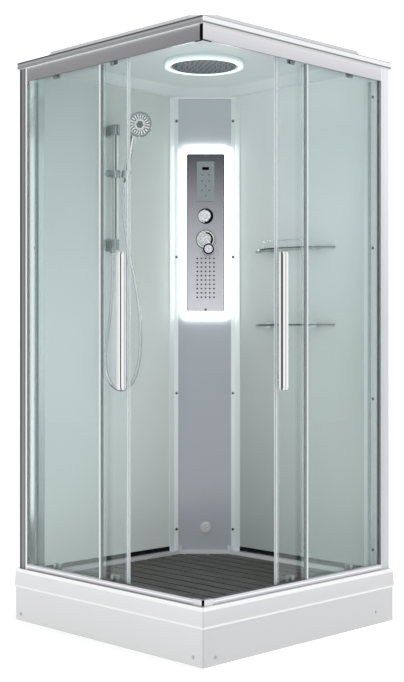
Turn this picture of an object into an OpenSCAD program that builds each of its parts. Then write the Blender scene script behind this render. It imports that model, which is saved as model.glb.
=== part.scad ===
// Square corner-entry shower cabin, two sliding doors, shower column in the back corner.
// The entry corner points to -X -Y, the walls stand on +X and +Y, Z is up.
// Centre of the tray is the origin, the floor is z = 0, all sizes are millimetres.

/* [Cabin] */
// Length of each side of the tray
side_w = 1000; // [900:10:1100]
// Height of the tray rim above the floor
tray_h = 193; // [178:1:230]
// Height between the tray rim and the underside of the roof
frame_h = 1853; // [1650:1:2050]
// Thickness of the glass sheets
glass_t = 5; // [4:0.5:6]
// How much the diagonal panel cuts off each back wall
back_cut = 180; // [176:1:200]
// Width of one board of the slatted floor
slat_w = 58; // [50:1:64]

/* [Doors] */
// Width of a door glass
door_w = 520; // [500:5:524]
// Gap between the left door and its post, as it stands
open_left = 20; // [14:1:200]
// Gap between the right door and its post, as it stands
open_right = 32; // [14:1:200]
// Length of the bar handles
handle_len = 468; // [300:4:700]

/* [Fittings] */
// Diameter of the rain head
rain_d = 238; // [200:2:300]
// Width of the column plate
column_w = 156; // [144:2:170]
// Diameter of the riser bar
bar_d = 22.5; // [18:0.5:26]
// Diameter of the hand shower head
head_d = 100; // [85:1:120]
// Depth of the glass shelves
shelf_depth = 105; // [85:1:125]

/* [Hidden] */
$fn = 48;
H = side_w / 2;
// outer face of the frame, outer edge of the basin, inner face of the posts, face of the walls
U = H - 15;
B = H - 60;
P = H - 45;
W = H - 35;
// middle planes of the fixed glass and of the door glass
GF = H - 23;
GD = H - 40;
gh = glass_t / 2;
// tray levels
ridge_z = tray_h - 68;
basin_z = tray_h - 75;
ledge_z = tray_h - 21;
slat_z = basin_z + 20;
slat_t = 20;
slat_pitch = 67.5;
skin = 5;
// corner rounding of the tray and of the aprons, gap between the aprons and the floor
tray_r = 3;
apron_r = 2;
apron_z0 = 2;
apron_t = 4;
apron_out = H - 2.5;
// frame levels
T = tray_h + frame_h;
fascia_h = 51;
rail_h = 20;
lip_z = T - 38;
// diagonal panel
D = (2 * W - back_cut) / sqrt(2);
ch = back_cut / sqrt(2);
panel_t = 8;
panel_half = ch - 5;
// door levels and clearances
door_z0 = tray_h + 7.5;
door_z1 = T - 10;
run_gap = 0.06;
pin_gap = 0.05;
loose_gap = 0.3;
wheel_r = 13;
wheel_w = 7;
wheel_z = lip_z + wheel_r + run_gap;
axle_r = 4;
meet_gap = 0.4;
lead_seal = 16;
roller_front = 81;
roller_back = 120;
guide_z = tray_h + 27;
tail_left = B - open_left;
tail_right = B - open_right;
// column, all in the frame of the diagonal panel
col_x = 4;
col_h = 647;
col_drop = 240;
col_z1 = T - col_drop;
col_z0 = col_z1 - col_h;
col_front = D - 40;
halo_t = 12;
halo_w = column_w + 50;
halo_z0 = col_z0 - 35;
halo_z1 = col_z1 + 38;
unit_z = col_z1 - 114;
unit_w = 72;
unit_h = 164;
unit_t = 5.5;
key_r = 3.6;
key_gap = 0.1;
knob_z = col_z1 - 256;
mixer_z = col_z1 - 352;
spindle_r = 6;
inlet_half = 17;
inlet_r = 10.5;
jet_pitch_x = 17.2;
jet_pitch_z = 17.7;
jet_z = col_z0 + 58;
keys = [[-14, 27], [14, 27], [-15.5, 1], [15.5, 1], [0, -19], [-15, -37], [15, -37], [0, -59]];
lever_pin_d = col_front - 42;
lever_turn = 16;
// rain head
rain_z = T + 9;
ball_z = rain_z + 26;
ball_r = 12;
lamp_gap = 9;
lamp_w = 18;
ceiling_z = T + 30;
ceiling_scale = 0.896;
well_r = 60;
well_z = T + 60;
lamp_z = T + 8;
pipe_z = T + 94;
pipe_r = 8;
pipe_d = D + 40;
// riser rail and hand shower on the left wall
bar_x = -75;
bar_y = W - 48;
bar_len = 489;
bar_drop = 164;
bar_z1 = T - bar_drop;
bar_z0 = bar_z1 - bar_len;
slide_z = bar_z1 - 193;
hold_x = -46;
hold_y = W - 79;
hold_tilt = 13;
grip_len = 168;
head_turn = 21;
outlet_x = bar_x - 13;
// shelves on the right wall
shelf_y = -40;
shelf_w = 420;
shelf_hold = 120;
shelf_t = 6;
shelf_drop = 644;
shelf_step = 299;
shelf_z = [T - shelf_drop, T - shelf_drop - shelf_step];
shelf_r = (pow(shelf_w / 2, 2) + pow(shelf_depth, 2)) / (2 * shelf_depth);
// screws
screw_r = 5.5;
shank_r = 2;
screw_low = tray_h + 65;
screw_high = T - 99;
screw_z = [for (i = [0 : 3]) screw_low + i * (screw_high - screw_low) / 3];
// apron screws, along the front and up: left and right front
apron_screws = [[[47 - H, 30], [H - 39, 27]], [[60 - H, 27], [H - 107, 46]]];
jet_foot_z = tray_h + 73;
// hose, a hand-laid loop from the outlet to the nut of the hand shower
hose_r = 7;
hose_route = [[-88, 417, 1380], [-88, 417, 1360], [-88, 417, 1340], [-89, 417, 1300], [-91, 416, 1260],
    [-95, 415, 1210], [-103, 413, 1150], [-114, 412, 1095], [-126, 411, 1040], [-134, 409, 990],
    [-135, 407, 940], [-126, 406, 900], [-107, 404, 868], [-80, 402, 850], [-50, 401, 846],
    [-21, 400, 858], [3, 398, 884], [20, 397, 920], [30, 395, 965], [34, 393, 1020],
    [33, 392, 1080], [28, 390, 1140], [18, 389, 1200], [4, 388, 1265], [-12, 388, 1325],
    [-28, 388, 1385], [-40, 390, 1440], [-48, 393, 1500], [-51, 396, 1550], [-50, 399, 1590],
    [-47, 399.5, 1620]];
hose_up = [0, -sin(hold_tilt), cos(hold_tilt)];
nut_len = 32;
face_gap = 0.05;
hose_end = [hold_x, hold_y, slide_z] - (nut_len + face_gap) * hose_up;
hose_start = [outlet_x, bar_y, bar_z0 - 13];
hose_shift = hose_start - hose_route[0];
hose_pts = concat([for (p = hose_route) p + hose_shift], [hose_end - 18 * hose_up, hose_end]);

// children are drawn for the right front (facing -Y); the left front is their mirror
module on_side(left) {
    if (left) mirror([1, -1, 0]) children();
    else children();
}

// box on the right front: along s, outward u, height z
module ubox(s0, s1, u0, u1, z0, z1)
    translate([s0, -u1, z0]) cube([s1 - s0, u1 - u0, z1 - z0]);

// rectangle of a rail section and the run of a section along the right front
module r2(u0, u1, z0, z1)
    translate([-u1, z0]) square([u1 - u0, z1 - z0]);
module run(s0, s1)
    translate([s0, 0, 0]) rotate([90, 0, 90]) linear_extrude(s1 - s0) children();

// round bar across the right front, from u0 out to u1
module ucyl(s, z, u0, u1, r)
    translate([s, -u0, z]) rotate([90, 0, 0]) cylinder(r = r, h = u1 - u0);

// square with rounded corners
module rsq(half, r) {
    square([2 * half, 2 * (half - r)], center = true);
    square([2 * (half - r), 2 * half], center = true);
    for (i = [-1, 1], j = [-1, 1]) translate([i * (half - r), j * (half - r)]) circle(r);
}

// rectangle with rounded corners
module rrect(w, h, r) {
    square([w, h - 2 * r], center = true);
    square([w - 2 * r, h], center = true);
    for (i = [-1, 1], j = [-1, 1]) translate([i * (w / 2 - r), j * (h / 2 - r)]) circle(r);
}

// frame of the diagonal: x to the right seen from the entry, y outward from the centre
module diag() rotate([0, 0, -45]) children();

// upright plate in the diagonal frame: its 2D outline is (x, z), it reaches from d0 to d1
module dplate(d0, d1)
    translate([0, d1, 0]) rotate([90, 0, 0]) linear_extrude(d1 - d0) children();
module dcyl(x, z, d0, d1, r)
    translate([x, d1, z]) rotate([90, 0, 0]) cylinder(r = r, h = d1 - d0);

// square with cut corners
module oct(half, cut) {
    a = half - cut;
    polygon([[-half, -a], [-a, -half], [a, -half], [half, -a], [half, a], [a, half], [-a, half], [-half, a]]);
}

basin_sum = (D - 10) * sqrt(2);
basin_pts = [[-B, -B], [B, -B], [B, basin_sum - B], [basin_sum - B, B], [-B, B]];
module basin_outline(inset)
    offset(r = 20 - inset) offset(delta = -20) polygon(basin_pts);

module ledge_outline(grow)
    polygon([[-P - grow, B - grow], [-P - grow, H - 12], [H - 12, H - 12], [H - 12, -P - grow],
        [B - grow, -P - grow], [B - grow, basin_sum - B - grow], [basin_sum - B - grow, B - grow]]);

// Base: tray, aprons, frame, waste, floor

module tray() color("white") difference() {
    union() {
        translate([0, 0, ridge_z]) linear_extrude(height = tray_h - ridge_z, scale = (H - 4) / H) rsq(H, tray_r);
        translate([0, 0, basin_z - skin]) linear_extrude(ridge_z - basin_z + skin + 10) rsq(B + skin, 25);
    }
    translate([0, 0, ridge_z - 1]) linear_extrude(tray_h - skin - ridge_z + 1) difference() {
        rsq(H - 9, 8);
        rsq(B + skin, 25);
        ledge_outline(skin);
    }
    translate([0, 0, ridge_z - 1]) linear_extrude(ledge_z - skin - ridge_z + 1) difference() {
        rsq(H - 9, 8);
        rsq(B + skin, 25);
    }
    translate([0, 0, ledge_z]) linear_extrude(60) ledge_outline(0);
    translate([0, 0, basin_z]) linear_extrude(120) basin_outline(0);
    translate([0, 0, basin_z - 20]) cylinder(r = 30 + loose_gap, h = 40);
}

// folded panel with rounded corner edge, cut back at the seam on the corner diagonal
module front_apron(screws) difference() {
    union() {
        ubox(apron_r - apron_out, H - 8, apron_out - apron_t, apron_out, apron_z0, ridge_z);
        ubox(apron_t - apron_out, H - 8, apron_out - 14, apron_out - apron_t, apron_z0, apron_z0 + 3);
        ubox(apron_t - apron_out, H - 20, apron_out - 14, apron_out - apron_t, ridge_z - 3, ridge_z);
        translate([apron_r - apron_out, apron_r - apron_out, apron_z0]) cylinder(r = apron_r, h = ridge_z - apron_z0);
    }
    for (p = screws) ucyl(p[0], p[1], H - 30, H, shank_r + loose_gap);
    translate([-H, -H, 0]) rotate([0, 0, 45]) translate([-50, -loose_gap / 2, 0]) cube([150, 60, tray_h]);
}
module front_aprons() color("whitesmoke") {
    on_side(true) front_apron(apron_screws[0]);
    on_side(false) front_apron(apron_screws[1]);
}

beam = 25;
beam_z = basin_z - skin - 2 * beam;
beam_row = H - 80;
beam_col = 300;
module foot(x, y) translate([x, y, 0]) {
    cylinder(r = 25, h = 12);
    cylinder(r = 6, h = beam_z + 1);
    translate([0, 0, beam_z - 10]) cylinder(r = 10, h = 10);
}
module support_frame() color("silver") {
    for (y = [-1, 1]) translate([-B, y * beam_row - beam / 2, beam_z]) difference() {
        cube([2 * B, beam, beam]);
        translate([-1, 2, 2]) cube([2 * B + 2, beam - 4, beam - 4]);
    }
    for (x = [-1, 1]) translate([x * beam_col - beam / 2, -B, beam_z + beam]) difference() {
        cube([beam, 2 * B, beam]);
        translate([2, -1, 2]) cube([beam - 4, 2 * B + 2, beam - 4]);
    }
    for (x = [-1, 0, 1], y = [-1, 1]) foot(x * beam_row, y * beam_row);
    for (x = [-beam_col, beam_col])
        on_side(false) ubox(x - 20, x + 20, beam_row + beam / 2, apron_out - apron_t, beam_z + 10, beam_z + 14);
    for (y = [-1, 1]) translate([apron_t - apron_out, y * beam_row - beam / 2, beam_z + 10])
        cube([apron_out - apron_t - B, beam, 4]);
}

// bottle trap under the basin, its outlet leaves between two feet
trap_z = 12;
outlet_z = 36;
outlet_turn = 20;
module waste_trap() color("gainsboro") difference() {
    union() {
        translate([0, 0, basin_z]) cylinder(r = 55, h = 5);
        translate([0, 0, basin_z + 5]) cylinder(r = 46, h = 6);
        translate([0, 0, outlet_z]) cylinder(r = 30, h = basin_z - outlet_z + 1);
        translate([0, 0, trap_z]) cylinder(r = 42, h = basin_z - skin - trap_z - 5);
        translate([0, 0, basin_z - skin - 5]) cylinder(r = 48, h = 5);
        translate([0, 0, outlet_z]) rotate([-90, 0, -outlet_turn]) cylinder(r = 23, h = 65);
        translate([0, 0, outlet_z]) rotate([-90, 0, -outlet_turn]) cylinder(r = 20, h = 165);
    }
    translate([0, 0, outlet_z]) rotate([-90, 0, -outlet_turn]) cylinder(r = 17.5, h = 166);
    for (a = [0 : 45 : 315]) rotate([0, 0, a]) translate([46, 0, basin_z + 8]) cube([10, 10, 4], center = true);
}

module floor_grid() color([0.3, 0.28, 0.27]) {
    intersection() {
        union() for (k = [-6 : 6])
            translate([1.75 + k * slat_pitch - slat_w / 2, -B, slat_z]) cube([slat_w, 2 * B, slat_t]);
        translate([0, 0, slat_z - 1]) linear_extrude(slat_t + 2) basin_outline(3);
    }
    intersection() {
        for (y = [-340, -130, 130, 340]) translate([-B, y - 20, basin_z]) cube([2 * B, 40, 20]);
        translate([0, 0, basin_z - 1]) linear_extrude(22) basin_outline(6);
    }
}

// Frame of the two fronts

module bottom_rail() run(-B, B) {
    r2(U - 2, U, tray_h, tray_h + rail_h);
    r2(B + 5, U, tray_h, tray_h + 2);
    r2(GF - 6, GF - 4, tray_h, tray_h + rail_h);
    r2(GD - 11, GD - 9, tray_h, tray_h + 14);
}
module bottom_rail_left() color("lightgrey") on_side(true) bottom_rail();
module bottom_rail_right() color("lightgrey") on_side(false) bottom_rail();

module top_rail(reach) {
    run(-B, B) {
        r2(U - 2, U, T - fascia_h, T);
        r2(B, U, T - 2, T);
        r2(GF - 6, GF - 4, T - 19, T);
        r2(B, B + 2, T - 40, T);
        r2(B, B + 12, T - 40, lip_z);
    }
    ubox(-reach, -B + 1, U - 2, U, T - fascia_h, T);
}
module top_rail_left() color("darkgrey") on_side(true) top_rail(U - 15);
module top_rail_right() color("lightgrey") on_side(false) top_rail(U);

corner_notch = 6;
module corner_connectors() {
    color("lightgrey") difference() {
        translate([-U, -U, tray_h]) cube([U - B, U - B, rail_h]);
        translate([-GF + 6, -GF + 6, tray_h + 2]) cube([100, 100, 100]);
        translate([-U - 1, -U - 1, tray_h + 1]) cube([corner_notch + 1, corner_notch + 1, rail_h]);
    }
    color([0.1, 0.1, 0.1]) difference() {
        translate([-U + 2, -U + 2, T - fascia_h]) cube([U - 2 - B, U - 2 - B, fascia_h]);
        translate([-GF + 6, -GF + 6, T - fascia_h - 1]) cube([100, 100, fascia_h - 7]);
    }
}

// hollow post with the glazing slot on its door side
module post() translate([0, 0, tray_h]) linear_extrude(frame_h) difference() {
    translate([B, -U]) square([U - B, U - P]);
    translate([B + 14, -U + 2]) square([U - B - 16, U - P - 4]);
    translate([B - 1, -GF - gh]) square([13, glass_t]);
    translate([B + 2, -GF + gh + 2]) square([10, GF - gh - P - 4]);
}
module post_left() color("silver") on_side(true) post();
module post_right() color("gainsboro") on_side(false) post();

module fixed_glass() ubox(22, B + 12, GF - gh, GF + gh, tray_h + 4, T - 4);
module fixed_glass_left() color([0.7, 0.8, 0.78, 0.4]) on_side(true) fixed_glass();
module fixed_glass_right() color([0.7, 0.8, 0.78, 0.4]) on_side(false) fixed_glass();

// edge strip on the front edge, glazing strips in the bottom and top rail
module fixed_seals() {
    difference() {
        ubox(15, 31, GF - gh - 2, GF + gh + 2, tray_h + rail_h + 0.5, T - fascia_h - 0.5);
        ubox(22, 32, GF - gh, GF + gh, 0, T);
    }
    ubox(15, 18, GD + gh + 0.6, GF - gh - 1, tray_h + rail_h + 0.5, T - fascia_h - 0.5);
    run(22, B) {
        r2(GF - 4, U - 2, tray_h + 2, tray_h + 4);
        r2(GF + gh, U - 2, tray_h + 2, tray_h + rail_h);
        r2(GF - 4, GF - gh, tray_h + 2, tray_h + rail_h);
    }
    run(22, B) {
        r2(GF - 4, U - 2, T - 4, T - 2);
        r2(GF + gh, U - 2, T - 18, T - 2);
        r2(GF - 4, GF - gh, T - 18, T - 2);
    }
}
module fixed_glass_seals() color([0.2, 0.22, 0.22]) {
    on_side(true) fixed_seals();
    on_side(false) fixed_seals();
}

// Back walls

// everything of the left wall is drawn here, the right wall is its mirror
wall_end = W - back_cut - 9;
module wall_sheet(ports) difference() {
    translate([-P + 3, W, ledge_z + 2.5]) cube([wall_end + P - 3, glass_t, T - ledge_z - 4.5]);
    if (ports) translate([bar_x, W - 1, bar_z0 + 20]) rotate([-90, 0, 0])
        cylinder(r = pipe_r + loose_gap, h = glass_t + 2);
}
module wall_panel_left() color([0.75, 0.82, 0.8]) wall_sheet(true);
module wall_panel_right() color([0.75, 0.82, 0.8]) mirror([1, -1, 0]) wall_sheet(false);

module edge_profile() difference() {
    translate([0, 0, ledge_z]) linear_extrude(T - ledge_z) {
        translate([-P, W - 4]) square([67, 4]);
        translate([-P, W - 4]) square([3, glass_t + 7]);
        translate([-P, W + glass_t]) square([30, 3]);
    }
    for (z = screw_z) translate([-P + 25, W - 5, z]) rotate([-90, 0, 0]) cylinder(r = shank_r + loose_gap, h = 5);
}
module corner_profile() difference() {
    translate([0, 0, ledge_z]) linear_extrude(T - 5 - ledge_z) {
        x1 = W - back_cut;
        translate([x1 - 27, W - 3.2]) square([27, 3.2]);
        translate([x1 - 27, W + glass_t]) square([32, 3]);
        rotate(-45) {
            translate([-ch - 7, D - 3]) square([ch + 7 - panel_half, 3 + panel_t + 3]);
            translate([-ch, D - 3]) square([18, 3]);
            translate([-panel_half - 1, D + panel_t]) square([18, 3]);
        }
    }
    for (z = screw_z) diag() dcyl(-ch + 11, z, D - 4, D + 0.5, shank_r + loose_gap);
}
module wall_profiles() color("white") for (m = [false, true]) on_side(m) {
    edge_profile();
    corner_profile();
}

module foot_trim() translate([-P + 67, 0, ledge_z]) rotate([90, 0, 90])
    linear_extrude(W - back_cut - 27 + P - 67) {
        translate([W - 3, 0]) square([glass_t + 5, 2.5]);
        translate([W - 3, 0]) square([3, 18]);
        translate([W + glass_t, 0]) square([2, 18]);
    }
module wall_foot_trims() color([0.25, 0.25, 0.27]) {
    foot_trim();
    mirror([1, -1, 0]) foot_trim();
}

// head and short shank, the head faces -y
module screw() {
    rotate([90, 0, 0]) cylinder(r = screw_r, h = 2.5);
    rotate([-90, 0, 0]) cylinder(r = shank_r, h = 2.9);
}
module screw_caps() color("silver") {
    for (m = [false, true], z = screw_z) on_side(m) translate([-P + 25, W - 4, z]) screw();
    for (m = [-1, 1], z = screw_z) diag() translate([m * (ch - 11), D - 3, z]) screw();
    for (z = [col_z0 + 7, col_z1 - 7]) diag() translate([col_x, col_front, z]) screw();
    for (i = [0, 1], p = apron_screws[i]) on_side(i == 0) translate([p[0], -apron_out, p[1]]) screw();
}

module centre_panel() color([0.62, 0.64, 0.68]) diag() difference() {
    dplate(D, D + panel_t) translate([-panel_half, ledge_z]) square([2 * panel_half, T - 5 - ledge_z]);
    for (p = [[-inlet_half, -20], [inlet_half, -20], [14, 20]])
        dcyl(col_x + p[0], mixer_z + p[1], D - 1, D + panel_t + 1, pipe_r + loose_gap);
    dcyl(col_x, jet_foot_z, D - 1, D + panel_t + 1, 14 + loose_gap);
}

// Roof, rain head and lights

module cavity_outline(k) {
    c = (D - 2) * sqrt(2);
    a = B + 1;
    scale(k) polygon([[-a + 60, -a], [a - 60, -a], [a, -a + 60], [a, c - a], [c - a, a],
        [-a + 60, a], [-a, a - 60], [-a, -a + 60]]);
}
module roof_shell() color("white") difference() {
    union() {
        translate([0, 0, T]) linear_extrude(23) rsq(H - 6, 10);
        translate([0, 0, T + 23]) linear_extrude(height = 34, scale = (H - 70) / (H - 55)) oct(H - 55, 65);
        translate([0, 0, T + 57]) linear_extrude(height = 19, scale = 200 / (H - 70)) oct(H - 70, 63);
    }
    translate([0, 0, T - 1]) linear_extrude(1.01) cavity_outline(1);
    translate([0, 0, T]) linear_extrude(height = ceiling_z - T, scale = ceiling_scale) cavity_outline(1);
    translate([0, 0, ceiling_z - 1]) cylinder(r1 = well_r, r2 = well_r - 8, h = well_z - ceiling_z + 1);
    // hollow between ceiling and top, with the hole for the lamp cable
    difference() {
        translate([0, 0, ceiling_z + skin]) linear_extrude(T + 52 - ceiling_z - skin) oct(H - 110, 60);
        translate([0, 0, ceiling_z]) cylinder(r = well_r + skin, h = 60);
    }
    translate([150, 0, T + 50]) cylinder(r = 6, h = 40);
    translate([0, 0, T]) cylinder(r = 10.5 + loose_gap, h = 100);
    diag() translate([0, pipe_d, T - 1]) cylinder(r = pipe_r + loose_gap, h = 100);
}

module rain_feed() color("silver") {
    translate([0, 0, ball_z]) sphere(ball_r);
    translate([0, 0, ball_z]) cylinder(r = 7, h = 14);
    translate([0, 0, ball_z + 13]) cylinder(r = 10.5, h = pipe_z - ball_z - 3);
    translate([0, 0, well_z - 4]) cylinder(r = 20, h = 4);
    translate([0, 0, T + 76]) cylinder(r = 17, h = 5);
    diag() dcyl(0, pipe_z, 0, 30, 9);
}

module rain_head() color([0.4, 0.42, 0.45]) difference() {
    union() {
        translate([0, 0, rain_z]) rotate_extrude() {
            polygon([[0, 0], [rain_d / 2 - 2, 0], [rain_d / 2, 1.5], [rain_d / 2, 4], [rain_d / 2 - 2, 5.5],
                [37.5, 7], [23, 22], [23, 33], [0, 33]]);
        }
        for (n = [1 : 5]) for (i = [0 : 6 * n - 1]) rotate([0, 0, i * 360 / (6 * n)])
            translate([n * (rain_d / 2 - 14) / 5, 0, rain_z - 1.5]) cylinder(r = 2, h = 2);
    }
    translate([0, 0, ball_z]) sphere(ball_r + run_gap);
    translate([0, 0, ball_z + 6]) cylinder(r = 10.2, h = 20);
}

module light_strips() color([1, 1, 0.95]) {
    translate([0, 0, lamp_z]) rotate_extrude() translate([rain_d / 2 + lamp_gap, 0]) {
        square([lamp_w, 3]);
        translate([lamp_w - 3, 0]) square([3, ceiling_z - lamp_z]);
    }
    diag() difference() {
        dplate(D - halo_t, D) translate([col_x, (halo_z0 + halo_z1) / 2])
            rrect(halo_w, halo_z1 - halo_z0, 25);
        dplate(D - halo_t - 1, D + 1) translate([col_x, (col_z0 + col_z1) / 2])
            rrect(column_w - 6, col_z1 - col_z0 - 6, 4);
    }
}

// Shower column

module column_plate() color("silver") diag() difference() {
    dplate(col_front, D - halo_t) translate([col_x, (col_z0 + col_z1) / 2]) rrect(column_w, col_z1 - col_z0, 6);
    dplate(col_front + 2, D) translate([col_x, (col_z0 + col_z1) / 2])
        rrect(column_w - 4, col_z1 - col_z0 - 4, 4);
    dplate(col_front - 1, col_front + 3) translate([col_x, unit_z]) square([unit_w - 6, unit_h - 6], center = true);
    for (z = [knob_z, mixer_z]) dcyl(col_x, z, col_front - 1, col_front + 3, 18);
    for (i = [-2 : 2], j = [0 : 9])
        dcyl(col_x + i * jet_pitch_x, jet_z + j * jet_pitch_z, col_front - 1, col_front + 3, 3.5);
    for (z = [col_z0 + 7, col_z1 - 7]) dcyl(col_x, z, col_front - 1, col_front + 3, shank_r + loose_gap);
}

module body_jets() color([0.25, 0.25, 0.27]) diag() difference() {
    union() {
        for (i = [-2 : 2], j = [0 : 9])
            dcyl(col_x + i * jet_pitch_x, jet_z + j * jet_pitch_z, col_front - 1.2, col_front + 4, 3.2);
        dplate(col_front + 2, col_front + 18) translate([col_x - 45, jet_z - 10]) square([90, 9 * jet_pitch_z + 20]);
    }
    for (i = [-2 : 2], j = [0 : 9])
        dcyl(col_x + i * jet_pitch_x, jet_z + j * jet_pitch_z, col_front - 2, col_front, 1.2);
}

module control_unit() color([0.85, 0.86, 0.88]) diag() difference() {
    union() {
        dplate(col_front - unit_t, col_front) translate([col_x, unit_z]) rrect(unit_w, unit_h, 5);
        dplate(col_front - 1, col_front + 22) translate([col_x, unit_z])
            square([unit_w - 7, unit_h - 7], center = true);
    }
    dplate(col_front - unit_t - 1, col_front - unit_t + 0.5) translate([col_x - 14, unit_z + 47]) square([28, 12]);
    for (k = keys) dcyl(col_x + k[0], unit_z + k[1], col_front - unit_t - 1, col_front, key_r + key_gap);
}
module key(i) color([0.92, 0.92, 0.95]) diag()
    dcyl(col_x + keys[i][0], unit_z + keys[i][1], col_front - unit_t - 1.5, col_front - 1, key_r);
module key_1() key(0);
module key_2() key(1);
module key_3() key(2);
module key_4() key(3);
module key_5() key(4);
module key_6() key(5);
module key_7() key(6);
module key_8() key(7);

// brass block between plate and panel, spindles to the front, pipes to the back
module mixer_body() color([0.8, 0.65, 0.35]) {
    diag() {
        dplate(col_front + 6, D - 6) translate([col_x - 26, mixer_z - 32]) square([52, knob_z - mixer_z + 60]);
        dcyl(col_x, knob_z, col_front - 20, col_front + 7, spindle_r);
        dcyl(col_x, mixer_z, col_front - 20, col_front + 7, spindle_r);
        for (x = [-inlet_half, inlet_half]) {
            dcyl(col_x + x, mixer_z - 20, D - 7, D + 26, pipe_r);
            dcyl(col_x + x, mixer_z - 20, D + 25, D + 45, inlet_r);
        }
        dcyl(col_x + 14, mixer_z + 20, D - 7, D + 24, pipe_r);
        translate([col_x + 14, D + 24, mixer_z + 20]) sphere(pipe_r);
        translate([col_x + 14, D + 24, mixer_z + 20]) rotate([0, -90, 0]) cylinder(r = pipe_r, h = col_x + 14);
        translate([0, D + 24, mixer_z + 20]) sphere(pipe_r);
        dcyl(0, mixer_z + 20, D + 24, pipe_d, pipe_r);
        translate([0, pipe_d, mixer_z + 20]) sphere(pipe_r);
        translate([0, pipe_d, mixer_z + 20]) cylinder(r = pipe_r, h = pipe_z - mixer_z - 20);
        translate([0, pipe_d, pipe_z]) sphere(pipe_r);
        dcyl(0, pipe_z, 30, pipe_d, pipe_r);
    }
}

module flow_knob() color("silver") diag() difference() {
    union() {
        dcyl(col_x, knob_z, col_front - 4.5, col_front - 0.5, 32);
        dcyl(col_x, knob_z, col_front - 28, col_front - 4, 24);
        for (a = [0 : 30 : 330]) translate([col_x, 0, knob_z]) rotate([0, a, 0])
            dcyl(23.5, 0, col_front - 26, col_front - 4, 1.6);
    }
    dcyl(col_x, knob_z, col_front - 21, col_front, spindle_r + pin_gap);
}

// the cap and its lever stand turned to one side about the middle of the mixer
module mixer_turned() diag() translate([col_x, 0, mixer_z]) rotate([0, -lever_turn, 0])
    translate([-col_x, 0, -mixer_z]) children();

module mixer_cap() color("silver") mixer_turned() {
    difference() {
        union() {
            dcyl(col_x, mixer_z, col_front - 6, col_front - 0.5, 39.5);
            dcyl(col_x, mixer_z, col_front - 32, col_front - 5, 27);
        }
        dcyl(col_x, mixer_z, col_front - 21, col_front, spindle_r + pin_gap);
    }
    translate([col_x - 8, lever_pin_d - 5, mixer_z - 6]) cube([16, col_front - 31 - lever_pin_d + 5, 12]);
    translate([col_x - 14, lever_pin_d, mixer_z]) rotate([0, 90, 0]) cylinder(r = 3, h = 28);
}

module mixer_lever() color("silver") mixer_turned() difference() {
    union() {
        for (x = [-14, 8.2]) translate([col_x + x, lever_pin_d, mixer_z]) rotate([0, 90, 0]) cylinder(r = 8, h = 5.8);
        for (x = [-14, 8.2]) translate([col_x + x, lever_pin_d - 15, mixer_z - 8]) cube([5.8, 15, 16]);
        dplate(lever_pin_d - 15, lever_pin_d - 8) translate([col_x - 14, mixer_z - 44]) square([28, 52]);
        dcyl(col_x, mixer_z - 44, lever_pin_d - 15, lever_pin_d - 6, 22);
    }
    translate([col_x - 15, lever_pin_d, mixer_z]) rotate([0, 90, 0]) cylinder(r = 3 + pin_gap, h = 30);
}

module foot_jet() color("silver") diag() difference() {
    union() {
        dcyl(col_x, jet_foot_z, D - 5, D, 23);
        dcyl(col_x, jet_foot_z, D - 9, D - 4, 17);
        dcyl(col_x, jet_foot_z, D - 1, D + 34, 14);
        dcyl(col_x, jet_foot_z, D + panel_t, D + panel_t + 8, 21);
    }
    dcyl(col_x, jet_foot_z, D - 10, D + 10, 5);
}

// Riser rail and hand shower

module riser_rail() color("silver") {
    translate([bar_x, bar_y, bar_z0]) cylinder(r = bar_d / 2, h = bar_z1 - bar_z0);
    for (z = [bar_z0, bar_z1 - 41]) {
        translate([bar_x, bar_y, z]) cylinder(r = 17, h = 41);
        translate([bar_x - 12, bar_y, z + 4]) cube([24, W - 9 - bar_y, 33]);
        translate([bar_x, W - 10, z + 20.5]) rotate([-90, 0, 0]) cylinder(r = 26, h = 10);
    }
    translate([bar_x, W - 1, bar_z0 + 20]) rotate([-90, 0, 0]) cylinder(r = pipe_r, h = 26);
    translate([bar_x, W + glass_t, bar_z0 + 20]) rotate([-90, 0, 0]) cylinder(r = 18, h = 9);
    translate([outlet_x, bar_y, bar_z0 - 13]) cylinder(r = 10, h = 25);
}

module riser_slider() color("silver") difference() {
    union() {
        translate([bar_x, bar_y, slide_z - 14]) cylinder(r = bar_d / 2 + 7.75, h = 28);
        translate([bar_x - 21, bar_y, slide_z]) rotate([0, 90, 0]) cylinder(r = 9, h = 20);
        translate([bar_x - 32, bar_y, slide_z]) rotate([0, 90, 0]) cylinder(r = 4, h = 20);
        translate([bar_x, bar_y, slide_z - 9])
            rotate([0, 0, atan2(hold_y - bar_y, hold_x - bar_x)]) translate([12, -9, 0]) cube([22, 18, 18]);
        translate([hold_x, hold_y, slide_z]) rotate([hold_tilt, 0, 0]) translate([0, 0, -15])
            cylinder(r = 18, h = 30);
    }
    translate([bar_x, bar_y, slide_z - 30]) cylinder(r = bar_d / 2 + pin_gap, h = 60);
    translate([hold_x, hold_y, slide_z]) rotate([hold_tilt, 0, 0]) {
        translate([0, 0, -16]) cylinder(r1 = 12 + pin_gap, r2 = 14 + pin_gap, h = 32);
        translate([-9, -30, -20]) cube([18, 30, 40]);
    }
}

module clamp_knob() color([0.2, 0.2, 0.22]) difference() {
    union() {
        translate([bar_x - 43, bar_y, slide_z]) rotate([0, 90, 0]) cylinder(r = 13, h = 21.8);
        for (a = [0 : 60 : 300]) translate([bar_x - 43, bar_y, slide_z]) rotate([a, 0, 0])
            translate([0, 12, 0]) rotate([0, 90, 0]) cylinder(r = 2.4, h = 18);
    }
    translate([bar_x - 33, bar_y, slide_z]) rotate([0, 90, 0]) cylinder(r = 4 + pin_gap, h = 20);
}

// the origin of this frame is the middle of the holder, z runs up the handle
module in_holder() translate([hold_x, hold_y, slide_z]) rotate([hold_tilt, 0, 0]) children();

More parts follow.
